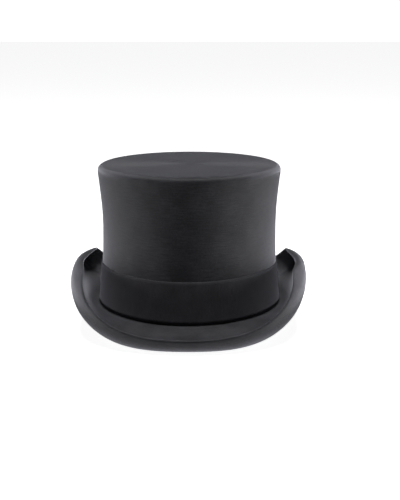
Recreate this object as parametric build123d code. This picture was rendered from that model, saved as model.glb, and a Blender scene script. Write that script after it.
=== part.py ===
from build123d import *
import math
import os

# A felt top hat, standing on its brim. Millimetres. +Z is up, the wearer faces -Y, the wearer's
# left is +X, and the origin is on the floor under the middle of the crown.
# The crown is a one-piece felt hood with a ribbon band and bow outside, and a leather sweatband,
# a reed and a satin lining inside.

# ---- Driving dimensions: crown ----
HEIGHT = 155.4            # from the floor to the flat tip
WAIST_WIDTH = 172.6       # outside, at the narrowest place
OVAL_EXTRA = 38.0         # every crown oval is this much longer than wide
WAIST_BELOW_TIP = 63.4    # the narrowest place, below the tip
TIP_FLARE = 4.8           # how far the wall flares out again at the tip, each side
TIP_FLARE_POWER = 1.65    # how late that flare comes
TIP_EDGE_RADIUS = 5.5     # rounding between wall and tip
BASE_FLARE = 4.1          # how far the wall flares out at the brim, each side
FELT = 3.0                # thickness of the felt, crown and brim

# ---- Driving dimensions: brim, each given at the ends (front and back), quarters and sides ----
CURL_RADIUS = (24.0, 21.9, 5.6)          # of the curl's outer surface
CURL_CENTRE_HEIGHT = (16.3, 25.1, 45.8)  # of the curl's axis; at the ends its underside is the floor
CURL_START = (-90.0, -76.0, -39.0)       # where the brim runs into the curl, degrees from outward
CURL_END = (-27.5, 23.6, 128.0)          # where the curl stops, at the lip
BRIM_SLOPE = (-32.0, -9.0, 11.5)        # the brim's slope where it leaves the crown, degrees
SIDE_REACH = 19.8         # from the crown's base out to the curl's axis, at the sides
END_REACH = 32.9          # the same at the front and the back
SIDE_FULLNESS = 5.4      # fills the plan out towards the quarters, across
END_FULLNESS = 6.0       # and lengthwise
BREAK_HEIGHT = 17.0       # where the wall turns into the brim, at the front and the back
BREAK_RISE = 3.0          # how much higher the sides turn
BREAK_RADIUS = 2.5        # of that turn, on its upper side

# ---- Driving dimensions: ribbon band and bow ----
BAND_WIDTH = 40.0
BAND_THICKNESS = 0.9
BOW_ANGLE = 24.0          # middle of the bow, degrees round from the wearer's left to the back
BOW_LENGTH = 62.0
BOW_WIDTH = 38.0
BOW_WAIST = 27.0          # height of the bow where the knot pinches it
BOW_THICKNESS = 2.4
KNOT_LENGTH = 15.0
KNOT_THICKNESS = 0.9
TACK_LENGTH = 2.4         # band tacks: short stitches over the band's upper edge
TACK_THREAD = 0.5
TACK_ANGLES = (-35.0, 60.0, 145.0, 215.0)

# ---- Driving dimensions: sweatband, reed and linings ----
SWEATBAND_WIDTH = 50.0
SWEATBAND_THICKNESS = 1.1
SWEATBAND_GAP = 0.5       # between the sweatband's two ends, at the back
REED_RADIUS = 1.1
REED_TAPE = 0.3           # thickness of the tape that wraps the reed
REED_TAPE_TAIL = 5.0      # how far its two plies run up behind the sweatband
STITCH_PITCH = 5.0        # sweatband stitches, along the band
STITCH_LENGTH = 3.2
STITCH_THREAD = 0.5
STITCH_HEIGHT = 2.2       # above the sweatband's lower edge
ZIGZAG_COUNT = 9          # stitches that close the sweatband's two ends
ZIGZAG_WIDTH = 5.0
REAR_BOW_LENGTH = 20.0    # small ribbon bow over the join
REAR_BOW_WIDTH = 9.0
REAR_BOW_WAIST = 4.5
REAR_BOW_THICKNESS = 1.0
LINING = 0.5              # thickness of the satin
LINING_TUCK = 30.0        # how deep the side lining goes behind the sweatband
TIP_GAP = 2.5             # between the felt tip and the tip lining
PIPING_RADIUS = 0.9       # corded seam between side and tip lining
WINDOW_LENGTH = 120.0     # clear guard on the tip lining
WINDOW_WIDTH = 84.0
WINDOW_THICKNESS = 0.3
TICKET_LENGTH = 26.0      # paper size ticket, tucked behind the sweatband
TICKET_HEIGHT = 30.0
TICKET_SHOWS = 14.0       # how much of it stands above the sweatband
TICKET_THICKNESS = 0.25
TICKET_ANGLE = 180.0

BACK = 90.0               # the wearer's back, in degrees round from their left

# ---- Clearances ----
SNUG = 0.1                # between two pieces that lie on each other

# ---- Fineness ----
ROUND_STEPS = 48          # points round each closed curve
WALL_STEPS = 12           # points up each piece of the wall


def radians_round():
    """The angles of the points on a closed curve, from the wearer's left towards the back."""
    return [2 * math.pi * k / ROUND_STEPS for k in range(ROUND_STEPS)]


def around(values, angle):
    """A brim value at an angle, from its values at the ends, the quarters and the sides."""
    ends, quarters, sides = values
    mean = (ends + 2 * quarters + sides) / 4
    swing = (sides - ends) / 2
    pinch = (ends - 2 * quarters + sides) / 4
    return mean + swing * math.cos(2 * angle) + pinch * math.cos(4 * angle)


# ---- Shape of the felt ----

WAIST_Z = HEIGHT - WAIST_BELOW_TIP
TIP_EDGE_Z = HEIGHT - TIP_EDGE_RADIUS


def break_z(angle):
    """Height at which the wall turns into the brim."""
    return BREAK_HEIGHT + BREAK_RISE * math.cos(angle) ** 2


def crown_half_width(z):
    """Half the crown's outside width at height z."""
    if z >= WAIST_Z:
        share = min(1.0, (z - WAIST_Z) / (TIP_EDGE_Z - WAIST_Z))
        return WAIST_WIDTH / 2 + TIP_FLARE * share**TIP_FLARE_POWER
    share = (WAIST_Z - z) / (WAIST_Z - BREAK_HEIGHT)
    return WAIST_WIDTH / 2 + BASE_FLARE * share**2


def oval_point(half_width, angle, z):
    """A point of a crown oval."""
    return (half_width * math.cos(angle), (half_width + OVAL_EXTRA / 2) * math.sin(angle), z)


def wall_point(angle, z, out):
    """A point out from the crown's outer surface, or in from it where out is negative."""
    return oval_point(crown_half_width(z) + out, angle, z)


def curl_height(angle):
    """Height of the curl's axis, before the brim is let down on to the floor."""
    return around(CURL_CENTRE_HEIGHT, angle)


LOWEST = min(curl_height(angle) - around(CURL_RADIUS, angle) for angle in radians_round())


def curl_axis(angle):
    """The curl's axis point at an angle, and the plan direction that faces outward there."""
    base = crown_half_width(BREAK_HEIGHT)
    c, s = math.cos(angle), math.sin(angle)
    across = base + SIDE_REACH
    along = base + OVAL_EXTRA / 2 + END_REACH
    x = c * (across + SIDE_FULLNESS * s**2)
    y = s * (along + END_FULLNESS * c**2)
    dx = -s * (across + SIDE_FULLNESS * s**2) + 2 * SIDE_FULLNESS * s * c**2
    dy = c * (along + END_FULLNESS * c**2) - 2 * END_FULLNESS * c * s**2
    length = math.hypot(dx, dy)
    return (x, y, curl_height(angle) - LOWEST), (dy / length, -dx / length)


def curl_point(angle, turn, radius, ahead=0.0):
    """A point at a radius from the curl's axis; turn is 0 outward and 90 up, in degrees."""
    (x, y, z), (nx, ny) = curl_axis(angle)
    c, s = math.cos(math.radians(turn)), math.sin(math.radians(turn))
    outward = radius * c - ahead * s
    return (x + nx * outward, y + ny * outward, z + radius * s + ahead * c)


def blend_points(start, start_way, end, end_way, count):
    """Points of a smooth cubic curve between two points with given directions, ends left out."""
    reach = 0.4 * math.dist(start, end)
    near = [p + reach * w for p, w in zip(start, start_way)]
    far = [p - reach * w for p, w in zip(end, end_way)]
    points = []
    for k in range(1, count):
        t = k / count
        weights = ((1 - t) ** 3, 3 * t * (1 - t) ** 2, 3 * t**2 * (1 - t), t**3)
        corners = zip(start, near, far, end)
        points.append(tuple(sum(w * v for w, v in zip(weights, corner)) for corner in corners))
    return points


def felt_skin(angle, depth):
    """One surface of the felt at an angle, from the tip's edge to the curl's end; depth 0 is outside."""
    points = []
    for k in range(5):
        turn = math.radians(90 - 22.5 * k)
        radius = TIP_EDGE_RADIUS - depth
        half = crown_half_width(TIP_EDGE_Z) - TIP_EDGE_RADIUS + radius * math.cos(turn)
        points.append(oval_point(half, angle, TIP_EDGE_Z + radius * math.sin(turn)))
    low = break_z(angle)
    for k in range(1, WALL_STEPS + 1):
        z = TIP_EDGE_Z + (low - TIP_EDGE_Z) * k / WALL_STEPS
        points.append(wall_point(angle, z, -depth))
    slope = around(BRIM_SLOPE, angle)
    radius = BREAK_RADIUS + depth
    centre = crown_half_width(low) + BREAK_RADIUS
    for k in range(1, 5):
        turn = math.radians(180 + (90 + slope) * k / 4)
        points.append(oval_point(centre + radius * math.cos(turn), angle, low + radius * math.sin(turn)))
    curl_radius = around(CURL_RADIUS, angle) - FELT + depth
    first, last = around(CURL_START, angle), around(CURL_END, angle)
    _, (nx, ny) = curl_axis(angle)
    rise = math.radians(slope)
    leave = (math.cos(angle) * math.cos(rise), math.sin(angle) * math.cos(rise), math.sin(rise))
    turn = math.radians(first)
    arrive = (-nx * math.sin(turn), -ny * math.sin(turn), math.cos(turn))
    points += blend_points(points[-1], leave, curl_point(angle, first, curl_radius), arrive, 7)
    for k in range(11):
        points.append(curl_point(angle, first + (last - first) * k / 10, curl_radius))
    return points


def felt_section(angle):
    """The felt's whole outline at an angle: outer surface, rounded lip, inner surface."""
    outer = felt_skin(angle, 0.0)
    inner = felt_skin(angle, FELT)
    last = around(CURL_END, angle)
    middle = around(CURL_RADIUS, angle) - FELT / 2
    lip = []
    for k in range(1, 6):
        turn = math.radians(180 - 30 * k)
        radius = middle + FELT / 2 * math.cos(turn)
        lip.append(curl_point(angle, last, radius, FELT / 2 * math.sin(turn)))
    return outer + lip + inner[::-1]


# ---- Solids from closed curves ----

def closed_curve(points):
    return Edge.make_spline(points, periodic=True)


def curves_of(section):
    """Closed curves round the hat, one for each point of the section."""
    rows = [section(angle) for angle in radians_round()]
    return [closed_curve(list(column)) for column in zip(*rows)]


def ring(section):
    """A solid ring whose cross-section at an angle is the closed outline section(angle)."""
    curves = curves_of(section)
    faces = [Face.make_surface_from_curves(a, b) for a, b in zip(curves, curves[1:] + curves[:1])]
    return Solid(Shell(faces))


def stretch(section, start, end, steps):
    """A solid between two angles, in degrees, whose cross-section is the closed outline section(angle)."""
    wires = []
    for k in range(steps + 1):
        angle = math.radians(start + (end - start) * k / steps)
        wires.append(Wire.make_polygon(section(angle), close=True))
    return Solid.make_loft(wires, ruled=False)


def plate_between(low, high, inner, outer):
    """Outline of a strip on the crown wall between two heights, from inner to outer off the wall."""
    def section(angle):
        bottom, top = low(angle), high(angle)
        heights = [bottom + (top - bottom) * k / WALL_STEPS for k in range(WALL_STEPS + 1)]
        points = [wall_point(angle, z, outer) for z in heights]
        points += [wall_point(angle, z, inner) for z in heights[::-1]]
        return points
    return section


def reach_of(length, middle, z, out):
    """The angle, in degrees, that a length along the wall takes up about a middle angle."""
    half = crown_half_width(z) + out
    turn = math.radians(middle)
    per_radian = math.hypot(half * math.sin(turn), (half + OVAL_EXTRA / 2) * math.cos(turn))
    return math.degrees(length / per_radian)


def bow_section(middle, reach, centre, waist, width, inner, outer):
    """Outline of a flat bow, pinched to its waist at the middle angle and full at both ends."""
    def height(angle):
        share = min(1.0, abs(math.degrees(angle) - middle) / reach)
        return waist + (width - waist) * math.sin(share * math.pi / 2)

    def low(angle):
        return centre(angle) - height(angle) / 2

    def high(angle):
        return centre(angle) + height(angle) / 2

    return plate_between(low, high, inner, outer)


# ---- Outside pieces ----

def make_felt_body():
    curves = curves_of(felt_section)
    walls = [Face.make_surface_from_curves(a, b) for a, b in zip(curves, curves[1:])]
    tip_outside = Face(Wire([curves[0]]))
    tip_inside = Face(Wire([curves[-1]]))
    return Solid(Shell(walls + [tip_outside, tip_inside]))


def band_low(angle):
    return break_z(angle)


def band_high(angle):
    return break_z(angle) + BAND_WIDTH


BAND_OUT = SNUG + BAND_THICKNESS


def make_hat_band():
    return ring(plate_between(band_low, band_high, SNUG, BAND_OUT))


def bow_middle(angle):
    return break_z(angle) + BAND_WIDTH / 2


BOW_IN = BAND_OUT + SNUG
BOW_OUT = BOW_IN + BOW_THICKNESS


def make_bow_loops():
    reach = reach_of(BOW_LENGTH / 2, BOW_ANGLE, BREAK_HEIGHT, BOW_OUT)
    section = bow_section(BOW_ANGLE, reach, bow_middle, BOW_WAIST, BOW_WIDTH, BOW_IN, BOW_OUT)
    return stretch(section, BOW_ANGLE - reach, BOW_ANGLE + reach, 8)


def make_bow_knot():
    """A strip over the bow's middle whose two ends turn in to the band."""
    def section(angle):
        middle = bow_middle(angle)
        inside = BOW_WAIST / 2 + SNUG + (BOW_WIDTH - BOW_WAIST) / 4
        outside = inside + KNOT_THICKNESS
        top = BOW_OUT + SNUG
        return [
            wall_point(angle, middle - outside, BOW_IN),
            wall_point(angle, middle - outside, top + KNOT_THICKNESS),
            wall_point(angle, middle + outside, top + KNOT_THICKNESS),
            wall_point(angle, middle + outside, BOW_IN),
            wall_point(angle, middle + inside, BOW_IN),
            wall_point(angle, middle + inside, top),
            wall_point(angle, middle - inside, top),
            wall_point(angle, middle - inside, BOW_IN),
        ]
    reach = reach_of(KNOT_LENGTH / 2, BOW_ANGLE, BREAK_HEIGHT, BOW_OUT)
    return stretch(section, BOW_ANGLE - reach, BOW_ANGLE + reach, 4)


def thread(middle, way, length, radius):
    """One stitch: a short round piece of thread."""
    plane = Plane(origin=middle, z_dir=way)
    return plane * Cylinder(radius, length)


def make_band_tacks():
    """Upright stitches that hold the band's upper edge to the felt."""
    tacks = []
    for angle in (math.radians(a) for a in TACK_ANGLES):
        z = band_high(angle)
        out = BAND_OUT + SNUG + TACK_THREAD / 2
        low = wall_point(angle, z - TACK_LENGTH / 2, out)
        high = wall_point(angle, z + TACK_LENGTH / 2, out)
        way = tuple(b - a for a, b in zip(low, high))
        middle = tuple((a + b) / 2 for a, b in zip(low, high))
        tacks.append(thread(middle, way, TACK_LENGTH, TACK_THREAD / 2))
    return Compound(children=tacks)


# ---- Inside pieces ----

# Offsets are from the felt's outer surface, so inside pieces have negative ones.
LINING_OUT = -FELT - 2 * SNUG
LINING_IN = LINING_OUT - LINING
TICKET_OUT = LINING_IN - SNUG
TICKET_IN = TICKET_OUT - TICKET_THICKNESS
TAPE_OUT = -FELT - SNUG                           # the reed tape's ply next to the felt
TAPE_IN = TAPE_OUT - 2 * REED_TAPE - SNUG         # the inner face of its other ply
SWEATBAND_OUT = min(TICKET_IN, TAPE_IN) - SNUG
SWEATBAND_IN = SWEATBAND_OUT - SWEATBAND_THICKNESS
REED_HOLE = REED_RADIUS + SNUG
REED_FOLD = REED_HOLE + REED_TAPE                 # outer radius of the tape's fold
REED_MIDDLE = TAPE_OUT - REED_FOLD
TIP_LINING_TOP = HEIGHT - FELT - TIP_GAP
TIP_LINING_LOW = TIP_LINING_TOP - LINING
PIPING_Z = TIP_LINING_LOW - SNUG - PIPING_RADIUS


def reed_z(angle):
    return break_z(angle)


def sweatband_low(angle):
    return reed_z(angle) + REED_FOLD + SNUG


def sweatband_high(angle):
    return sweatband_low(angle) + SWEATBAND_WIDTH


def cord_section(out, z_at, radius, sides):
    """Outline of a round cord that runs round the wall, its axis at an offset from the wall."""
    def section(angle):
        turns = [2 * math.pi * k / sides for k in range(sides)]
        z = z_at(angle)
        return [wall_point(angle, z + radius * math.sin(t), out + radius * math.cos(t)) for t in turns]
    return section


def make_reed():
    return ring(cord_section(REED_MIDDLE, reed_z, REED_RADIUS, 12))


def make_reed_tape():
    """A folded strip: round the reed below, with two plies that run up behind the sweatband."""
    turns = [math.radians(-25 * k) for k in range(13)]
    top = REED_FOLD + REED_TAPE_TAIL
    neck = REED_FOLD + REED_TAPE
    outline = [(TAPE_OUT, top)]
    outline += [(REED_MIDDLE + REED_FOLD * math.cos(t), REED_FOLD * math.sin(t)) for t in turns]
    outline += [(TAPE_IN, neck), (TAPE_IN, top)]
    outline += [(TAPE_IN + REED_TAPE, top), (TAPE_IN + REED_TAPE, neck)]
    outline += [(REED_MIDDLE + REED_HOLE * math.cos(t), REED_HOLE * math.sin(t)) for t in turns[::-1]]
    outline += [(TAPE_OUT - REED_TAPE, top)]

    def section(angle):
        return [wall_point(angle, reed_z(angle) + up, out) for out, up in outline]
    return ring(section)


def make_sweatband():
    section = plate_between(sweatband_low, sweatband_high, SWEATBAND_IN, SWEATBAND_OUT)
    gap = reach_of(SWEATBAND_GAP / 2, BACK, BREAK_HEIGHT, SWEATBAND_IN)
    return stretch(section, BACK + gap, BACK + 360 - gap, ROUND_STEPS)


def inside_point(angle, z, lift):
    """A point lifted off the sweatband's inner face, towards the head."""
    return wall_point(angle, z, SWEATBAND_IN - lift)


def along_wall(angle, z):
    """The level direction along the wall."""
    before, after = inside_point(angle - 0.01, z, 0), inside_point(angle + 0.01, z, 0)
    return (after[0] - before[0], after[1] - before[1], 0)


def round_the_wall(pitch, z, out):
    """Angles that step round the wall at an even pitch."""
    fine = 720
    points = [wall_point(2 * math.pi * k / fine, z, out) for k in range(fine + 1)]
    lengths = [math.dist(a, b) for a, b in zip(points, points[1:])]
    count = round(sum(lengths) / pitch)
    angles = []
    run = 0.0
    for k, length in enumerate(lengths):
        if run >= len(angles) * sum(lengths) / count:
            angles.append(2 * math.pi * k / fine)
        run += length
    return angles


STITCH_LIFT = 2 * SNUG + STITCH_THREAD / 2


def make_sweatband_stitches():
    stitches = []
    for angle in round_the_wall(STITCH_PITCH, BREAK_HEIGHT, SWEATBAND_IN):
        z = sweatband_low(angle) + STITCH_HEIGHT
        middle = inside_point(angle, z, STITCH_LIFT)
        stitches.append(thread(middle, along_wall(angle, z), STITCH_LENGTH, STITCH_THREAD / 2))
    return Compound(children=stitches)


def make_join_stitches():
    """A zigzag of thread across the sweatband's two ends, at the back."""
    back = math.radians(BACK)
    stitches = []
    low = rear_bow_middle(back) + REAR_BOW_WIDTH / 2
    step = (sweatband_high(back) - STITCH_HEIGHT - low) / ZIGZAG_COUNT
    for k in range(ZIGZAG_COUNT):
        side = 1 if k % 2 else -1
        middle = inside_point(back, low + step * (k + 0.5), STITCH_LIFT)
        way = (side * ZIGZAG_WIDTH, 0, step)
        reach = math.hypot(ZIGZAG_WIDTH, step) - 2 * STITCH_THREAD
        stitches.append(thread(middle, way, reach, STITCH_THREAD / 2))
    return Compound(children=stitches)


def rear_bow_middle(angle):
    return sweatband_low(angle) + STITCH_HEIGHT + STITCH_THREAD + REAR_BOW_WIDTH / 2


def make_rear_bow():
    """A small flat bow at the foot of the join."""
    inner = SWEATBAND_IN - SNUG
    outer = inner - REAR_BOW_THICKNESS
    reach = reach_of(REAR_BOW_LENGTH / 2, BACK, BREAK_HEIGHT, inner)
    section = bow_section(BACK, reach, rear_bow_middle, REAR_BOW_WAIST, REAR_BOW_WIDTH, outer, inner)
    return stretch(section, BACK - reach, BACK + reach, 6)


def lining_low(angle):
    return sweatband_high(angle) - LINING_TUCK


def lining_top(angle):
    return PIPING_Z - PIPING_RADIUS - SNUG


def make_side_lining():
    return ring(plate_between(lining_low, lining_top, LINING_IN, LINING_OUT))


def tip_lining_half():
    """Half the tip lining's width: its edge stands over the piping."""
    return crown_half_width(TIP_EDGE_Z) + LINING_OUT


def oval_plate(half_width, half_length, top, thickness):
    plate = extrude(Ellipse(half_width, half_length), thickness)
    return Pos(0, 0, top - thickness) * plate


def make_tip_lining():
    half = tip_lining_half()
    return oval_plate(half, half + OVAL_EXTRA / 2, TIP_LINING_TOP, LINING)


def piping_z(angle):
    return PIPING_Z


def make_lining_piping():
    return ring(cord_section(LINING_OUT - PIPING_RADIUS, piping_z, PIPING_RADIUS, 10))


def make_tip_window():
    return oval_plate(WINDOW_WIDTH / 2, WINDOW_LENGTH / 2, TIP_LINING_LOW - SNUG, WINDOW_THICKNESS)


def ticket_high(angle):
    return sweatband_high(angle) + TICKET_SHOWS


def ticket_low(angle):
    return ticket_high(angle) - TICKET_HEIGHT


def make_size_ticket():
    """Tucked between the side lining and the sweatband."""
    section = plate_between(ticket_low, ticket_high, TICKET_IN, TICKET_OUT)
    reach = reach_of(TICKET_LENGTH / 2, TICKET_ANGLE, BREAK_HEIGHT, TICKET_IN)
    return stretch(section, TICKET_ANGLE - reach, TICKET_ANGLE + reach, 4)


PIECES = {
    "felt_body": make_felt_body,
    "hat_band": make_hat_band,
    "band_tacks": make_band_tacks,
    "bow_loops": make_bow_loops,
    "bow_knot": make_bow_knot,
    "sweatband": make_sweatband,
    "sweatband_stitches": make_sweatband_stitches,
    "sweatband_join_stitches": make_join_stitches,
    "sweatband_rear_bow": make_rear_bow,
    "reed": make_reed,
    "reed_tape": make_reed_tape,
    "side_lining": make_side_lining,
    "tip_lining": make_tip_lining,
    "lining_piping": make_lining_piping,
    "tip_window": make_tip_window,
    "size_ticket": make_size_ticket,
}

os.makedirs("parts", exist_ok=True)
for name, make in PIECES.items():
    export_step(make(), f"parts/{name}.step")
    print("made", name)
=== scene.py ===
# %% [markdown]
# # A felt top hat
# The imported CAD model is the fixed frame: it says where each piece is and how large.
# Here every visible piece is modelled again as what it is, felt, ribbon, leather, satin and thread,
# and given its finish. Lengths in the shape formulas are millimetres, and MM turns them to metres.

# %% Load the frame
import math
import bpy
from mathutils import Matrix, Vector, noise


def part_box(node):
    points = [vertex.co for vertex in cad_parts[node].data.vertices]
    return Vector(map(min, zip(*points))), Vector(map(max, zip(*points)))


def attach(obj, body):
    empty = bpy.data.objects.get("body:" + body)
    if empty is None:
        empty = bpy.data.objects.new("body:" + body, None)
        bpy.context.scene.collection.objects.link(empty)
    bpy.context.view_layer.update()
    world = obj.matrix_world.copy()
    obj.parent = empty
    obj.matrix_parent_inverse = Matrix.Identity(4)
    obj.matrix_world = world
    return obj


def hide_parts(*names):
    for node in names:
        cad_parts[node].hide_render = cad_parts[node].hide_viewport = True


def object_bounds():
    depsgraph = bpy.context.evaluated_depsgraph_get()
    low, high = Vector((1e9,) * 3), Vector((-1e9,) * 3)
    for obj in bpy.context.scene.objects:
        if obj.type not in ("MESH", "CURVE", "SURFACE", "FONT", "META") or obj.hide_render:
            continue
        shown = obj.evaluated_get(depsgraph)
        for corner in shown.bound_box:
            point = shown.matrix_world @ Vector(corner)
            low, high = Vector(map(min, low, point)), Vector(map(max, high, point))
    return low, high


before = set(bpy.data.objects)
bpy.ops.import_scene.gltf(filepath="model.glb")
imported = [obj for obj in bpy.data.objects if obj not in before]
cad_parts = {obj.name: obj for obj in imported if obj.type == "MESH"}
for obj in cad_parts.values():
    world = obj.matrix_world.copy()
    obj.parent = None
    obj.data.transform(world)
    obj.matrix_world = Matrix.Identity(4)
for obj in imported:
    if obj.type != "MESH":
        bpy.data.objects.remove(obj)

CAD_BOX = [list(corner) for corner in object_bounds()]
MM = 0.001
HEIGHT = CAD_BOX[1][2] / MM
print("hat stands", round(HEIGHT, 1), "mm tall")

# %% [markdown]
# ## The block
# A hatter shapes the hood over an oval block and a brim flange, so every piece follows the same few
# curves. The block is a formula here: an oval for each height, and a curl whose radius, height and
# turn change smoothly from the ends of the brim to its quarters and its sides.

# %% The block's sizes
WAIST_WIDTH = 172.6
OVAL_EXTRA = 38.0
WAIST_Z = HEIGHT - 63.4
TIP_FLARE, TIP_FLARE_POWER, TIP_EDGE_RADIUS = 4.8, 1.65, 5.5
BASE_FLARE = 4.1
FELT = 3.0
CURL_RADIUS = (24.0, 21.9, 5.6)          # at the ends, the quarters and the sides
CURL_CENTRE_HEIGHT = (16.3, 25.1, 45.8)
CURL_START = (-90.0, -76.0, -39.0)
CURL_END = (-27.5, 23.6, 128.0)
BRIM_SLOPE = (-32.0, -9.0, 11.5)
SIDE_REACH, END_REACH = 19.8, 32.9
SIDE_FULLNESS, END_FULLNESS = 5.4, 6.0
BREAK_HEIGHT, BREAK_RISE, BREAK_RADIUS = 17.0, 3.0, 2.5
TIP_EDGE_Z = HEIGHT - TIP_EDGE_RADIUS
FRONT, BACK = -math.pi / 2, math.pi / 2


# %% The crown's oval and the wall
def around(values, angle):
    """A brim value at an angle, from its values at the ends, the quarters and the sides."""
    ends, quarters, sides = values
    swing = (sides - ends) / 2 * math.cos(2 * angle)
    pinch = (ends - 2 * quarters + sides) / 4 * math.cos(4 * angle)
    return (ends + 2 * quarters + sides) / 4 + swing + pinch


def break_z(angle):
    """Height at which the wall turns into the brim."""
    return BREAK_HEIGHT + BREAK_RISE * math.cos(angle) ** 2


def crown_half_width(z):
    """Half the crown's outside width at a height."""
    if z >= WAIST_Z:
        share = min(1.0, (z - WAIST_Z) / (TIP_EDGE_Z - WAIST_Z))
        return WAIST_WIDTH / 2 + TIP_FLARE * share**TIP_FLARE_POWER
    return WAIST_WIDTH / 2 + BASE_FLARE * ((WAIST_Z - z) / (WAIST_Z - BREAK_HEIGHT)) ** 2


def oval_point(half, angle, z):
    return Vector((half * math.cos(angle), (half + OVAL_EXTRA / 2) * math.sin(angle), z))


def wall_point(angle, z, out):
    """A point off the crown's outer surface: out is positive outside the hat, negative inside."""
    return oval_point(crown_half_width(z) + out, angle, z)


def girth(z, out, steps=180):
    """Length once round the wall."""
    points = [wall_point(2 * math.pi * k / steps, z, out) for k in range(steps + 1)]
    return sum((b - a).length for a, b in zip(points, points[1:]))


# %% The brim's curl
def curl_height(angle):
    return around(CURL_CENTRE_HEIGHT, angle)


TURNS_48 = [2 * math.pi * k / 48 for k in range(48)]
LOWEST = min(curl_height(a) - around(CURL_RADIUS, a) for a in TURNS_48)


def curl_axis(angle):
    """The curl's axis at an angle, and the plan direction that faces outward there."""
    base = crown_half_width(BREAK_HEIGHT)
    c, s = math.cos(angle), math.sin(angle)
    across = base + SIDE_REACH + SIDE_FULLNESS * s**2
    along = base + OVAL_EXTRA / 2 + END_REACH + END_FULLNESS * c**2
    dx = -s * across + 2 * SIDE_FULLNESS * s * c**2
    dy = c * along - 2 * END_FULLNESS * c * s**2
    axis = Vector((c * across, s * along, curl_height(angle) - LOWEST))
    return axis, Vector((dy, -dx, 0)).normalized()


def curl_point(angle, turn, radius, ahead=0.0):
    """A point round the curl's axis: turn is 0 outward and 90 degrees up."""
    axis, outward = curl_axis(angle)
    c, s = math.cos(math.radians(turn)), math.sin(math.radians(turn))
    return axis + outward * (radius * c - ahead * s) + Vector((0, 0, radius * s + ahead * c))


def blend_points(start, start_way, end, end_way, count):
    """A smooth cubic curve between two points with given directions, ends left out."""
    reach = 0.4 * (end - start).length
    near, far = start + start_way * reach, end - end_way * reach
    points = []
    for k in range(1, count):
        t = k / count
        points.append(start * (1 - t) ** 3 + near * 3 * t * (1 - t) ** 2 + far * 3 * t**2 * (1 - t) + end * t**3)
    return points


# %% The felt's two skins
def felt_skin(angle, depth):
    """One surface of the felt, from the middle of the tip to the curl's end; depth 0 is outside."""
    points = []
    radius = TIP_EDGE_RADIUS - depth
    edge_half = crown_half_width(TIP_EDGE_Z) - TIP_EDGE_RADIUS
    for k in range(14):
        share = k / 14
        flat = oval_point(edge_half, angle, HEIGHT - depth)
        points.append(Vector((flat.x * share, flat.y * share, flat.z)))
    for k in range(7):
        turn = math.radians(90 - 15 * k)
        points.append(oval_point(edge_half + radius * math.cos(turn), angle, TIP_EDGE_Z + radius * math.sin(turn)))
    low = break_z(angle)
    for k in range(1, 25):
        points.append(wall_point(angle, TIP_EDGE_Z + (low - TIP_EDGE_Z) * k / 24, -depth))
    slope = around(BRIM_SLOPE, angle)
    radius = BREAK_RADIUS + depth
    centre = crown_half_width(low) + BREAK_RADIUS
    for k in range(1, 6):
        turn = math.radians(180 + (90 + slope) * k / 5)
        points.append(oval_point(centre + radius * math.cos(turn), angle, low + radius * math.sin(turn)))
    curl_radius = around(CURL_RADIUS, angle) - FELT + depth
    first, last = around(CURL_START, angle), around(CURL_END, angle)
    outward = curl_axis(angle)[1]
    rise, turn = math.radians(slope), math.radians(first)
    leave = Vector((math.cos(angle) * math.cos(rise), math.sin(angle) * math.cos(rise), math.sin(rise)))
    arrive = -outward * math.sin(turn) + Vector((0, 0, math.cos(turn)))
    points += blend_points(points[-1], leave, curl_point(angle, first, curl_radius), arrive, 12)
    points += [curl_point(angle, first + (last - first) * k / 13, curl_radius) for k in range(14)]
    return points


def felt_section(angle):
    """Outside from the tip's middle to the lip, round the lip, and back up the inside."""
    last, middle = around(CURL_END, angle), around(CURL_RADIUS, angle) - FELT / 2
    lip = []
    for k in range(1, 6):
        turn = math.radians(180 - 30 * k)
        radius = middle + FELT / 2 * math.cos(turn)
        lip.append(curl_point(angle, last, radius, FELT / 2 * math.sin(turn)))
    return felt_skin(angle, 0.0) + lip + felt_skin(angle, FELT)[::-1]


# %% [markdown]
# ## One way to wrap a piece
# Each piece starts from a primitive. A grid is the flat cut of a cloth or strip: it is added,
# and each of its corners is laid where the piece's cross-section says, so the grid's own UV map
# stays with the cloth, and ribs, grain and brushing can follow it. Edges that meet are merged.

# %% Wrap and finish helpers
def select_only(piece):
    bpy.ops.object.select_all(action="DESELECT")
    piece.select_set(True)
    bpy.context.view_layer.objects.active = piece


def apply_modifier(piece, kind, **settings):
    select_only(piece)
    modifier = piece.modifiers.new(kind.title(), kind)
    for key, value in settings.items():
        setattr(modifier, key, value)
    bpy.ops.object.modifier_apply(modifier=modifier.name)


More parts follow.
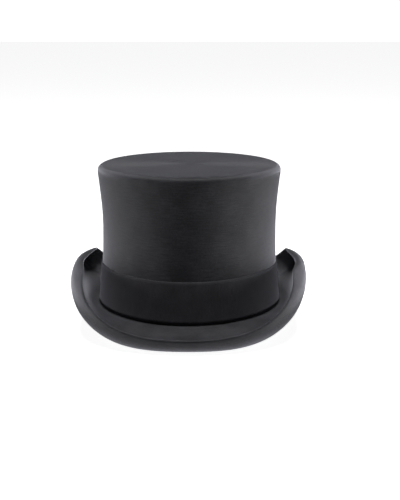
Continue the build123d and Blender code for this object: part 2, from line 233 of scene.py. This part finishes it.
def wrap(name, section, start, end, turns, smooth=1, closed=True):
    """Lays a grid along angles start to end; section(angle, share) lists the outline in millimetres."""
    rows = []
    for k in range(turns + 1):
        outline = section(start + (end - start) * k / turns, k / turns)
        rows.append(outline + outline[:1] if closed else outline)
    steps = len(rows[0]) - 1
    bpy.ops.object.select_all(action="DESELECT")
    bpy.ops.mesh.primitive_grid_add(x_subdivisions=turns, y_subdivisions=steps, size=1.0)
    piece = bpy.context.object
    piece.name = piece.data.name = name
    for vertex in piece.data.vertices:
        row, step = round((vertex.co.x + 0.5) * turns), round((vertex.co.y + 0.5) * steps)
        vertex.co = rows[row][step] * MM
    full_turn = abs(abs(end - start) - 2 * math.pi) < 1e-6
    bpy.ops.object.mode_set(mode="EDIT")
    bpy.ops.mesh.select_all(action="SELECT")
    bpy.ops.mesh.remove_doubles(threshold=1e-6)
    if not full_turn:
        bpy.ops.mesh.select_all(action="DESELECT")
        bpy.ops.mesh.select_non_manifold()
        bpy.ops.mesh.fill()
        bpy.ops.mesh.select_all(action="SELECT")
    bpy.ops.mesh.normals_make_consistent(inside=False)
    bpy.ops.object.mode_set(mode="OBJECT")
    if smooth:
        apply_modifier(piece, "SUBSURF", levels=smooth, render_levels=smooth)
    select_only(piece)
    bpy.ops.object.shade_smooth()
    print(name, len(piece.data.polygons), "faces")
    return piece


def strip_outline(angle, low, high, inner, outer, steps, lean=lambda share: 0.0):
    """Outline of a strip on the wall with rounded edges; lean moves it off the wall by height."""
    middle, half = (inner + outer) / 2, (outer - inner) / 2
    points = []
    for k in range(steps + 1):
        z = low + (high - low) * k / steps
        points.append(wall_point(angle, z, outer + lean(k / steps)))
    points.append(wall_point(angle, high + half * 0.7, middle + lean(1.0)))
    for k in range(steps, -1, -1):
        z = low + (high - low) * k / steps
        points.append(wall_point(angle, z, inner + lean(k / steps)))
    points.append(wall_point(angle, low - half * 0.7, middle + lean(0.0)))
    return points


# %% [markdown]
# ## Finishes
# Each material is named for the real stuff. Colours are the sRGB values a person reads off a
# swatch, turned to linear light by one function. Patterns follow the UV map of the cloth, where u
# runs along the piece and v runs round its section, so their scales come from real lengths.

# %% Material helpers
def colour(hex_text):
    """An sRGB hex colour as linear light."""
    parts = [int(hex_text[k:k + 2], 16) / 255 for k in (1, 3, 5)]
    return [p / 12.92 if p <= 0.04045 else ((p + 0.055) / 1.055) ** 2.4 for p in parts] + [1.0]


def add(tree, kind, links=None, **settings):
    """Adds a node, sets its properties and inputs, and links its inputs from other nodes' outputs."""
    node = tree.nodes.new(kind)
    for key, value in settings.items():
        if key.startswith("in_"):
            node.inputs[int(key[3:])].default_value = value
        else:
            setattr(node, key, value)
    for socket, source in (links or {}).items():
        tree.links.new(source, node.inputs[socket])
    return node


def new_material(name, base, roughness, **shader):
    """A material with its shader set up; constants go straight on the shader's sockets."""
    material = bpy.data.materials.new(name)
    material.use_nodes = True
    surface = material.node_tree.nodes["Principled BSDF"]
    surface.inputs["Base Color"].default_value = colour(base)
    surface.inputs["Roughness"].default_value = roughness
    for key, value in shader.items():
        surface.inputs[key.replace("_", " ")].default_value = value
    return material, material.node_tree, surface


def uv_scaled(tree, along, across):
    """The piece's UV map, multiplied so that one unit is one thread, rib or streak."""
    uv = add(tree, "ShaderNodeTexCoord")
    return add(tree, "ShaderNodeMapping", {"Vector": uv.outputs["UV"]}, in_3=(along, across, 1)).outputs[0]


def object_scaled(tree, size_mm):
    """Object coordinates, multiplied so that one unit is one grain of the given size."""
    place = add(tree, "ShaderNodeTexCoord")
    scale = (1000 / size_mm,) * 3
    return add(tree, "ShaderNodeMapping", {"Vector": place.outputs["Object"]}, in_3=scale).outputs[0]


def mix_colours(tree, factor, dark, light):
    """A colour between two, by a factor."""
    ramp = add(tree, "ShaderNodeValToRGB", {"Fac": factor})
    ramp.color_ramp.elements[0].color, ramp.color_ramp.elements[1].color = colour(dark), colour(light)
    return ramp


def bump(tree, surface, height, distance_mm, strength=1.0, after=None):
    links = {"Height": height}
    if after:
        links["Normal"] = after.outputs[0]
    node = add(tree, "ShaderNodeBump", links, in_0=strength, in_1=distance_mm * MM)
    tree.links.new(node.outputs[0], surface.inputs["Normal"])
    return node


# %% [markdown]
# Wool felt is fibre pressed and brushed round and round the crown, so it has no weave. A soft
# sheen of fibre ends, fine streaks along the brushing and small flecks are what the eye reads.
# The streaks are drawn about 14 mm long and 0.9 mm high, coarse enough to show.

# %% Wool felt
STREAK_LONG, STREAK_HIGH, SECTION_LENGTH = 14.0, 0.9, 690.0


def wool_felt():
    material, tree, surface = new_material("brushed wool felt", "#1a1a1c", 0.6, Sheen_Weight=1.0,
                                           Sheen_Roughness=0.42, Specular_IOR_Level=0.25, Anisotropic=0.85)
    surface.inputs["Sheen Tint"].default_value = colour("#c9c9d2")
    streak_uv = uv_scaled(tree, girth(WAIST_Z, 0) / STREAK_LONG, SECTION_LENGTH / STREAK_HIGH)
    streaks = add(tree, "ShaderNodeTexNoise", {"Vector": streak_uv}, in_2=1.0, in_3=3.0, in_4=0.6)
    fibres = add(tree, "ShaderNodeTexNoise", {"Vector": object_scaled(tree, 0.9)}, in_2=1.0, in_3=4.0, in_4=0.7)
    cloud = add(tree, "ShaderNodeTexNoise", {"Vector": object_scaled(tree, 22)}, in_2=1.0, in_3=3.0)
    blend = add(tree, "ShaderNodeMath", {0: streaks.outputs[0], 1: fibres.outputs[0]}, operation="MULTIPLY")
    shade = add(tree, "ShaderNodeMath", {0: blend.outputs[0], 1: cloud.outputs[0]}, operation="MULTIPLY")
    ramp = mix_colours(tree, shade.outputs[0], "#0e0e10", "#303035")
    ramp.color_ramp.elements[0].position, ramp.color_ramp.elements[1].position = 0.05, 0.24
    tree.links.new(ramp.outputs[0], surface.inputs["Base Color"])
    tangent = add(tree, "ShaderNodeTangent", direction_type="UV_MAP")
    tree.links.new(tangent.outputs[0], surface.inputs["Tangent"])
    first = bump(tree, surface, fibres.outputs[0], 0.12, 0.7)
    bump(tree, surface, streaks.outputs[0], 0.25, 0.8, after=first)
    return material


# %% [markdown]
# Grosgrain has cords across the ribbon's width, about one to a millimetre, so light breaks up
# along them and the ribbon looks darker than felt. Satin is a float weave: smooth, bright across
# its folds. Roan leather has fine pebble grain under a light polish.

# %% Ribbon, satin, leather and thread
def ribbed_ribbon(name, length_mm, rib_mm=0.8):
    material, tree, surface = new_material(name, "#19191b", 0.7, Sheen_Weight=0.35, Sheen_Roughness=0.55,
                                           Specular_IOR_Level=0.3)
    surface.inputs["Sheen Tint"].default_value = colour("#b9b9c4")
    ribs = add(tree, "ShaderNodeTexWave", {"Vector": uv_scaled(tree, length_mm / rib_mm / 3.1831, 1.0)},
               wave_type="BANDS", bands_direction="X", in_1=0.5, in_2=0.0)
    weave = add(tree, "ShaderNodeTexNoise", {"Vector": object_scaled(tree, 0.6)}, in_2=1.0, in_3=2.0)
    cloud = add(tree, "ShaderNodeTexNoise", {"Vector": object_scaled(tree, 14)}, in_2=1.0, in_3=3.0)
    shade = add(tree, "ShaderNodeMath", {0: weave.outputs[0], 1: cloud.outputs[0]}, operation="MULTIPLY")
    ramp = mix_colours(tree, shade.outputs[0], "#131315", "#2a2a2e")
    ramp.color_ramp.elements[0].position, ramp.color_ramp.elements[1].position = 0.1, 0.42
    tree.links.new(ramp.outputs[0], surface.inputs["Base Color"])
    first = bump(tree, surface, weave.outputs[0], 0.05, 0.5)
    bump(tree, surface, ribs.outputs[1], 0.12, 0.5, after=first)
    return material


def float_satin(name, dark, light, length_mm):
    material, tree, surface = new_material(name, light, 0.34, Anisotropic=0.6, Sheen_Weight=0.15)
    threads = add(tree, "ShaderNodeTexNoise", {"Vector": uv_scaled(tree, length_mm / 0.5, 14)}, in_2=1.0, in_3=2.0)
    cloud = add(tree, "ShaderNodeTexNoise", {"Vector": object_scaled(tree, 30)}, in_2=1.0)
    ramp = mix_colours(tree, cloud.outputs[0], dark, light)
    tree.links.new(ramp.outputs[0], surface.inputs["Base Color"])
    bump(tree, surface, threads.outputs[0], 0.05, 0.5)
    return material


def roan_leather():
    material, tree, surface = new_material("polished roan leather", "#7a4a2a", 0.42, Coat_Weight=0.15,
                                           Coat_Roughness=0.3)
    grain = add(tree, "ShaderNodeTexVoronoi", {"Vector": object_scaled(tree, 1.1)}, in_2=1.0)
    cloud = add(tree, "ShaderNodeTexNoise", {"Vector": object_scaled(tree, 18)}, in_2=1.0, in_3=5.0)
    ramp = mix_colours(tree, cloud.outputs[0], "#5f3719", "#8d5a34")
    ramp.color_ramp.elements[0].position, ramp.color_ramp.elements[1].position = 0.3, 0.7
    tree.links.new(ramp.outputs[0], surface.inputs["Base Color"])
    gloss = add(tree, "ShaderNodeMapRange", {"Value": grain.outputs[0]}, in_3=0.36, in_4=0.55)
    tree.links.new(gloss.outputs[0], surface.inputs["Roughness"])
    bump(tree, surface, grain.outputs[0], 0.14, 0.6)
    return material


def spun(name, dark, light, grain_mm, roughness, depth_mm, **shader):
    """Thread, paper, cane or coated tape: a base colour with fine fibres of one grain size."""
    material, tree, surface = new_material(name, light, roughness, **shader)
    fibres = add(tree, "ShaderNodeTexNoise", {"Vector": object_scaled(tree, grain_mm)}, in_2=1.0, in_3=4.0)
    ramp = mix_colours(tree, fibres.outputs[0], dark, light)
    ramp.color_ramp.elements[0].position, ramp.color_ramp.elements[1].position = 0.3, 0.7
    tree.links.new(ramp.outputs[0], surface.inputs["Base Color"])
    bump(tree, surface, fibres.outputs[0], depth_mm, 0.6)
    return material


def dress(piece, material, slot, *nodes):
    """Gives a piece its finish, says which body it rides on, and hides the CAD nodes it stands for."""
    piece.data.materials.clear()
    piece.data.materials.append(material)
    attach(piece, "root")
    if nodes:
        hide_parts(*nodes)
    return piece


# %% [markdown]
# ## The felt body
# Crown and brim are one hood, steamed over the block, so they are one closed mesh: outside, round
# the lip and back up the inside. Hand work leaves the wall and brim a little uneven, which a slow
# noise of a third of a millimetre gives.

# %% Felt body
def uneven(point, size_mm, amount_mm):
    """A slow wobble along the plan direction, for cloth and felt shaped by hand."""
    plan = Vector((point.x, point.y, 0))
    if plan.length < 1:
        return point
    return point + plan.normalized() * noise.noise(point / size_mm) * amount_mm


felt = wrap("felt_hood", lambda angle, share: [uneven(p, 34, 0.3) for p in felt_section(angle)],
            FRONT, FRONT + 2 * math.pi, 140, closed=False)
dress(felt, wool_felt(), "wool_felt", "felt_body")

# %% [markdown]
# ## Ribbon band and bow
# The ribbon is pulled tight round the wall, tacked at its upper edge, and its join is hidden by a
# flat bow behind the wearer's left side. The band has one small slanting tuck low at the front.

# %% Hat band
BAND_WIDTH, BAND_IN, BAND_OUT = 40.0, 0.1, 1.0
TUCK_ANGLE, TUCK_LOW, TUCK_SLANT, TUCK_HIGH = FRONT + 0.30, 0.12, 0.10, 0.44


def band_outline(angle, share):
    low = break_z(angle) + 0.4
    def tuck(height):
        along = angle - TUCK_ANGLE + TUCK_SLANT * (height - TUCK_LOW)
        inside = math.exp(-((height - (TUCK_LOW + TUCK_HIGH) / 2) / 0.14) ** 2)
        return 0.45 * inside * (math.exp(-((along - 0.018) / 0.014) ** 2) - math.exp(-(along / 0.010) ** 2))
    ripple = 0.12 * noise.noise(Vector((math.cos(angle), math.sin(angle), 0.3)) * 4)
    return strip_outline(angle, low, low + BAND_WIDTH - 0.8, BAND_IN, BAND_OUT,
                         14, lambda height: ripple * height + tuck(height))


band_length = girth(BREAK_HEIGHT + BAND_WIDTH / 2, BAND_OUT)
band = wrap("grosgrain_band", band_outline, FRONT, FRONT + 2 * math.pi, 300, smooth=0)
dress(band, ribbed_ribbon("black grosgrain band", band_length), "grosgrain", "hat_band")

# %% [markdown]
# The bow is a ribbon folded into two flat loops and pinched by a knot. Each loop is a flattened
# tube: fullest in its middle, thin at the knot, with pleats that fan out of the pinch.

# %% Flat bows and their knots
def make_bow(name, middle, centre_z, length, width, waist, inner, thick, facing, turns=48):
    """A flat bow on the wall. facing is 1 outside the hat and -1 inside it."""
    half = crown_half_width(centre_z) + inner
    speed = math.hypot(half * math.sin(middle), (half + OVAL_EXTRA / 2) * math.cos(middle))
    reach = length / 2 / speed

    def outline(angle, share):
        side = abs(2 * share - 1)
        spread = math.sin(side * math.pi / 2)
        tall = (waist + (width - waist) * spread) / 2 - 0.2
        full = thick * (0.45 + 0.55 * math.sin(min(1.0, side * 1.08) * math.pi) ** 0.7 * (side < 0.93)
                        + 0.25 * (side >= 0.93))
        full = min(full, thick * 0.98)
        points = []
        for k in range(28):
            turn = 2 * math.pi * k / 28
            c, s = math.cos(turn), math.sin(turn)
            up = tall * math.copysign(abs(s) ** 0.55, s)
            pleat = 0.22 * math.cos(up / tall * 9) * math.exp(-side * 3.2) * thick
            off = full / 2 * (1 + math.copysign(abs(c) ** 0.45, c))
            off = max(0.0, min(thick, off + (pleat if c > 0 else 0)))
            points.append(wall_point(angle, centre_z + up, inner + facing * off))
        return points

    return wrap(name, outline, middle - reach, middle + reach, turns)


def make_knot(name, middle, centre_z, length, height, inner, thick, cover, facing):
    """A folded strip over the bow's pinch, crowned in its middle, its edges turned under."""
    half = crown_half_width(centre_z) + inner
    speed = math.hypot(half * math.sin(middle), (half + OVAL_EXTRA / 2) * math.cos(middle))
    reach = length / 2 / speed

    def outline(angle, share):
        crown = math.sqrt(max(0.0, 1 - (2 * share - 1) ** 4))
        points = []
        for lift, rise in ((cover + 0.15 + thick * crown, height / 2), (cover + 0.1, height / 2 - thick)):
            row = []
            for k in range(15):
                turn = math.pi * k / 14
                up = -math.cos(turn) * rise
                off = min(lift, lift * (math.sin(turn) * 3.2) ** 0.6) if 0 < k < 14 else 0.0
                row.append(wall_point(angle, centre_z + up, inner + facing * off))
            points += row if not points else row[::-1]
        return points

    return wrap(name, outline, middle - reach, middle + reach, 12)


BOW_ANGLE, BOW_IN, BOW_THICK = math.radians(24), 1.1, 2.4
bow_z = break_z(BOW_ANGLE) + BAND_WIDTH / 2
bow_ribbon = ribbed_ribbon("black grosgrain bow", 62)
bow = make_bow("folded_bow", BOW_ANGLE, bow_z, 62, 38, 27, BOW_IN, BOW_THICK, 1)
dress(bow, bow_ribbon, "grosgrain", "bow_loops")
knot = make_knot("bow_centre_knot", BOW_ANGLE, bow_z, 15, 34, BOW_IN, 0.85, BOW_THICK, 1)
dress(knot, ribbed_ribbon("black grosgrain knot", 15), "grosgrain", "bow_knot")


# %% [markdown]
# ## Thread
# A stitch is a short length of two-ply thread that dives into the cloth at both ends. One is
# modelled, a few dozen faces, and copied along each seam.

# %% Stitches
def stitches(name, places, thread_mm):
    """Grains of thread: each place is (middle, direction, length, facing), in millimetres."""
    made = []
    for middle, way, length, facing in places:
        bpy.ops.object.select_all(action="DESELECT")
        bpy.ops.mesh.primitive_uv_sphere_add(segments=8, ring_count=8, radius=1.0)
        grain = bpy.context.object
        level = way.normalized()
        side = facing.cross(level).normalized()
        for vertex in grain.data.vertices:
            c = vertex.co.copy()
            twist = 1 + 0.12 * math.cos(6 * c.z + 3 * math.atan2(c.y, c.x))
            dip = -0.35 * thread_mm * c.z**4
            bulge = thread_mm / 2 * twist
            vertex.co = (middle + level * (c.z * length / 2) + side * (c.x * bulge)
                         + facing * (c.y * bulge + dip)) * MM
        made.append(grain)
    bpy.ops.object.select_all(action="DESELECT")
    for grain in made:
        grain.select_set(True)
    bpy.context.view_layer.objects.active = made[0]
    bpy.ops.object.join()
    piece = bpy.context.object
    piece.name = piece.data.name = name
    bpy.ops.object.shade_smooth()
    print(name, len(made), "stitches")
    return piece


def facing_out(angle):
    return Vector((math.cos(angle), math.sin(angle), 0))


def along_wall(angle):
    return (oval_point(90, angle + 0.01, 0) - oval_point(90, angle - 0.01, 0)).normalized()


black_thread = spun("black cotton thread", "#101012", "#2a2a2d", 0.3, 0.7, 0.04, Sheen_Weight=0.3)
tan_thread = spun("waxed tan thread", "#8a6a40", "#c09a64", 0.3, 0.5, 0.04)
tack_places = []
for degrees in (-35, 60, 145, 215):
    tack_angle = math.radians(degrees)
    tack_z = break_z(tack_angle) + BAND_WIDTH
    tack_places.append((wall_point(tack_angle, tack_z, BAND_OUT + 0.3), Vector((0, 0, 1)), 2.4, facing_out(tack_angle)))
dress(stitches("band_tack_threads", tack_places, 0.5), black_thread, "black_thread", "band_tacks")

# %% [markdown]
# ## Inside: leather, reed and satin
# The leather sweatband lies against the wall, sewn at its foot to a tape that wraps a thin reed,
# with a butt join and a small bow at the back. Its upper edge stands a hair off the lining.

# %% Sweatband
SWEAT_OUT, SWEAT_IN, SWEAT_WIDTH = -4.15, -5.25, 50.0
sweat_low = 1.5 + 0.1


def sweatband_outline(angle, share):
    low = break_z(angle) + sweat_low + 0.4
    def lean(height):
        emboss = -0.18 * math.exp(-((height - 0.93) / 0.008) ** 2)
        wave = 0.25 * noise.noise(Vector((math.cos(angle) * 3, math.sin(angle) * 3, height)))
        return -emboss + wave * height - 0.1 * height
    return strip_outline(angle, low, low + SWEAT_WIDTH - 0.8, SWEAT_IN, SWEAT_OUT, 44, lean)


gap = 0.25 / crown_half_width(BREAK_HEIGHT)
sweatband = wrap("roan_sweatband", sweatband_outline, BACK + gap, BACK + 2 * math.pi - gap, 220, smooth=0)
dress(sweatband, roan_leather(), "brown_leather", "sweatband")

# %% Sweatband stitches, join and rear bow
STITCH_COUNT, STITCH_OFF = 119, 0.45
foot = []
for k in range(STITCH_COUNT):
    angle = 2 * math.pi * (k + 0.5) / STITCH_COUNT
    place = wall_point(angle, break_z(angle) + sweat_low + 2.2, SWEAT_IN - STITCH_OFF)
    foot.append((place, along_wall(angle), 3.4, -facing_out(angle)))
dress(stitches("sweatband_foot_stitches", foot, 0.55), tan_thread, "tan_thread", "sweatband_stitches")
join_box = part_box("sweatband_join_stitches")
join_low, join_high = join_box[0][2] / MM, join_box[1][2] / MM
zigzag, ZIGZAG_COUNT = [], 9
step = (join_high - join_low) / ZIGZAG_COUNT
for k in range(ZIGZAG_COUNT):
    z = join_low + step * (k + 0.5)
    way = Vector((4.4 if k % 2 else -4.4, 0, step))
    zigzag.append((wall_point(BACK, z, SWEAT_IN - STITCH_OFF), way, way.length, -facing_out(BACK)))
dress(stitches("sweatband_join_zigzag", zigzag, 0.55), tan_thread, "tan_thread", "sweatband_join_stitches")
rear_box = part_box("sweatband_rear_bow")
rear_z = (rear_box[0][2] + rear_box[1][2]) / 2 / MM
rear_bow = make_bow("rear_satin_bow", BACK, rear_z, 20, 9, 4.5, SWEAT_IN - 0.12, 1.0, -1, turns=24)
dress(rear_bow, float_satin("black satin ribbon", "#141416", "#242428", 20), "satin_ribbon", "sweatband_rear_bow")

# %% Reed and its tape
def cord_outline(centre_out, centre_up, radius, sides, at):
    def outline(angle, share):
        turns = [2 * math.pi * k / sides for k in range(sides)]
        z = at(angle) + centre_up
        return [wall_point(angle, z + radius * math.sin(t), centre_out + radius * math.cos(t)) for t in turns]
    return outline


TAPE_OUT, TAPE_PLY, REED_RADIUS = -3.1, 0.3, 1.1
REED_HOLE = REED_RADIUS + 0.1
REED_FOLD = REED_HOLE + TAPE_PLY
REED_MIDDLE = TAPE_OUT - REED_FOLD
reed = wrap("cane_reed", cord_outline(REED_MIDDLE, 0, REED_RADIUS, 12, break_z), FRONT, FRONT + 2 * math.pi, 160, 0)
dress(reed, spun("natural cane", "#a89a78", "#c9bd9c", 1.4, 0.5, 0.05), "reed_plastic", "reed")


def tape_outline(angle, share):
    turns = [math.radians(-20 * k) for k in range(16)]
    wall_in = TAPE_OUT - 2 * TAPE_PLY - 0.1
    top, neck = REED_FOLD + 5.0, REED_FOLD + TAPE_PLY
    outline = [(TAPE_OUT, top)]
    outline += [(REED_MIDDLE + REED_FOLD * math.cos(t), REED_FOLD * math.sin(t)) for t in turns]
    outline += [(wall_in, neck), (wall_in, top), (wall_in + TAPE_PLY, top), (wall_in + TAPE_PLY, neck)]
    outline += [(REED_MIDDLE + REED_HOLE * math.cos(t), REED_HOLE * math.sin(t)) for t in turns[::-1]]
    outline += [(TAPE_OUT - TAPE_PLY, top)]
    return [wall_point(angle, break_z(angle) + up, out) for out, up in outline]


tape = wrap("reed_oilcloth", tape_outline, FRONT, FRONT + 2 * math.pi, 160, 0)
dress(tape, spun("coated cotton tape", "#141415", "#26262a", 0.7, 0.55, 0.08), "oilcloth", "reed_tape")

# %% [markdown]
# The satin lining is cut a little long and gathered where it meets the corded seam under the tip,
# so small pleats fall down the wall and die out behind the sweatband.

# %% Side lining
LINING_OUT, LINING_IN, PLEATS = -3.2, -3.7, 84
lining_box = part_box("side_lining")
lining_top = lining_box[1][2] / MM


def side_outline(angle, share):
    low = break_z(angle) + sweat_low + SWEAT_WIDTH - 30.0
    tall = lining_top - low
    points = []
    for k in range(23):
        points.append(wall_point(angle, low + tall * k / 22, LINING_OUT))
    wander = 1.4 * noise.noise(Vector((math.cos(angle) * 5, math.sin(angle) * 5, 0)))
    for k in range(22, -1, -1):
        height = k / 22
        rise = max(0.0, height - 0.34) / 0.66
        fold = (0.5 + 0.5 * math.cos(PLEATS * angle + wander + 1.5 * rise)) ** 2
        points.append(wall_point(angle, low + tall * height, LINING_IN - 0.9 * fold * rise**0.7))
    return points


ivory = float_satin("ivory satin", "#b3ac9b", "#d8d2c2", girth(100, LINING_IN))
side = wrap("satin_side_lining", side_outline, FRONT, FRONT + 2 * math.pi, 672, smooth=0)
dress(side, ivory, "satin", "side_lining")

# %% Tip lining, its corded seam and the clear guard
tip_low, tip_high = (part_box("tip_lining")[k][2] / MM for k in (0, 1))
tip_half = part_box("tip_lining")[1][0] / MM


def tip_outline(angle, share):
    upper, lower = [], []
    for k in range(29):
        ring = k / 28
        edge = oval_point(tip_half - 0.1, angle, 0)
        pucker = 0.5 * math.cos(PLEATS * angle) * max(0.0, ring - 0.86) / 0.14
        belly = 0.5 * (1 - ring**2)
        upper.append(Vector((edge.x * ring, edge.y * ring, tip_high)))
        lower.append(Vector((edge.x * ring, edge.y * ring, tip_low + belly * 0.3 + min(0.2, pucker * 0.4))))
    return upper + lower[::-1]


tip_lining = wrap("satin_tip_lining", tip_outline, FRONT, FRONT + 2 * math.pi, 336, smooth=0, closed=False)
dress(tip_lining, float_satin("ivory satin tip", "#b3ac9b", "#d8d2c2", 600), "satin", "tip_lining")
piping_z = sum(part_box("lining_piping")[k][2] for k in (0, 1)) / 2 / MM


def piping_outline(angle, share):
    turns = [2 * math.pi * k / 10 for k in range(10)]
    radius = 0.88 + 0.05 * math.cos(angle * 380)
    out = LINING_OUT - 0.9
    return [wall_point(angle, piping_z + radius * math.sin(t), out + radius * math.cos(t)) for t in turns]


piping = wrap("corded_seam", piping_outline, FRONT, FRONT + 2 * math.pi, 900, smooth=0)
dress(piping, float_satin("ivory satin piping", "#a79f8c", "#cfc8b6", 600), "satin", "lining_piping")

film, film_tree, film_surface = new_material("clear vinyl film", "#f4f4f2", 0.12, IOR=1.46, Alpha=0.28)
smear = add(film_tree, "ShaderNodeTexNoise", {"Vector": object_scaled(film_tree, 24)}, in_2=1.0)
haze = add(film_tree, "ShaderNodeMapRange", {"Value": smear.outputs[0]}, in_3=0.06, in_4=0.26)
film_tree.links.new(haze.outputs[0], film_surface.inputs["Roughness"])
window_low, window_high = (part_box("tip_window")[k] for k in (0, 1))


def window_outline(angle, share):
    upper, lower = [], []
    for k in range(19):
        ring = k / 18
        rim = 0.25 * math.exp(-((ring - 0.955) / 0.02) ** 2)
        at = Vector((window_high[0] / MM * ring * math.cos(angle), window_high[1] / MM * ring * math.sin(angle), 0))
        upper.append(at + Vector((0, 0, window_high[2] / MM)))
        lower.append(at + Vector((0, 0, window_low[2] / MM - rim)))
    return upper + lower[::-1]


window = wrap("clear_tip_guard", window_outline, FRONT, FRONT + 2 * math.pi, 96, smooth=0, closed=False)
dress(window, film, "clear_film", "tip_window")

# %% Paper size ticket, left blank
ticket_low, ticket_high = (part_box("size_ticket")[k][2] / MM for k in (0, 1))


def ticket_outline(angle, share):
    curl = lambda height: -0.8 * max(0.0, height - 0.6) ** 2 / 0.16 * (0.6 + 0.4 * math.cos(math.pi * (share - 0.2)))
    return strip_outline(angle, ticket_low, ticket_high, -4.05, -3.8, 16, curl)


ticket_reach = 13.0 / (crown_half_width(BREAK_HEIGHT) + OVAL_EXTRA / 2)
ticket = wrap("paper_ticket", ticket_outline, math.pi - ticket_reach, math.pi + ticket_reach, 12, smooth=0)
dress(ticket, spun("uncoated paper", "#cbc5b4", "#e6e1d3", 0.5, 0.85, 0.04), "paper", "size_ticket")

# %% [markdown]
# ## Stage
# A plain white floor and white surround. Two large soft lights stand at the sides and a third
# hangs above, and nothing lights the front, so the crown is dark in its middle and its sides and
# tip catch a soft sheen.

# %% Floor, surround and lights
bpy.ops.object.select_all(action="DESELECT")
bpy.ops.mesh.primitive_plane_add(size=16, location=(0, 0, 0))
floor = bpy.context.object
floor.name = "studio_floor"
white, _, _ = new_material("white paper floor", "#f6f6f6", 0.9, Emission_Strength=0.9)
white.node_tree.nodes["Principled BSDF"].inputs["Emission Color"].default_value = colour("#ffffff")
floor.data.materials.append(white)
floor.visible_diffuse = False
floor.visible_glossy = False
floor.visible_shadow = False

world = bpy.data.worlds.new("studio surround")
bpy.context.scene.world = world
world.use_nodes = True
sky = world.node_tree
seen = add(sky, "ShaderNodeBackground", in_0=(1, 1, 1, 1), in_1=1.1)
dim = add(sky, "ShaderNodeBackground", in_0=(0.95, 0.97, 1, 1), in_1=0.03)
path = add(sky, "ShaderNodeLightPath")
choice = add(sky, "ShaderNodeMixShader", {0: path.outputs["Is Camera Ray"], 1: dim.outputs[0], 2: seen.outputs[0]})
sky.links.new(choice.outputs[0], sky.nodes["World Output"].inputs["Surface"])


def soft_light(name, place, power, size):
    """A square soft light that faces the crown."""
    bpy.ops.object.light_add(type="AREA", location=place)
    lamp = bpy.context.object
    lamp.name = name
    lamp.data.energy, lamp.data.size = power, size
    lamp.rotation_euler = (Vector((0, 0, 0.08)) - Vector(place)).to_track_quat("-Z", "Y").to_euler()
    return lamp


soft_light("left_softbox", (-1.5, 0.05, -0.20), 15, 1.0)
soft_light("right_softbox", (1.5, 0.05, -0.20), 20, 1.0)
soft_light("overhead_softbox", (0.0, -0.35, 1.7), 36, 0.8)
bounce = soft_light("floor_bounce", (0.0, -0.35, -0.5), 3, 1.0)
bounce.visible_camera = False

# %% Camera
CAMERA_DISTANCE, CAMERA_HEIGHT, CAMERA_PITCH = 1.360, 0.3222, 0.185
HAT_TURN, AIM_ASIDE, FOCAL = 0.022, 0.0078, 98.9
bpy.ops.object.camera_add(
    location=(CAMERA_DISTANCE * math.sin(HAT_TURN), -CAMERA_DISTANCE * math.cos(HAT_TURN), CAMERA_HEIGHT),
    rotation=(math.pi / 2 - CAMERA_PITCH, 0, HAT_TURN - AIM_ASIDE),
)
camera = bpy.context.object
camera.data.lens, camera.data.sensor_width, camera.data.clip_start = FOCAL, 36, 0.01
bpy.context.scene.camera = camera
bpy.context.scene.view_settings.view_transform = "Standard"
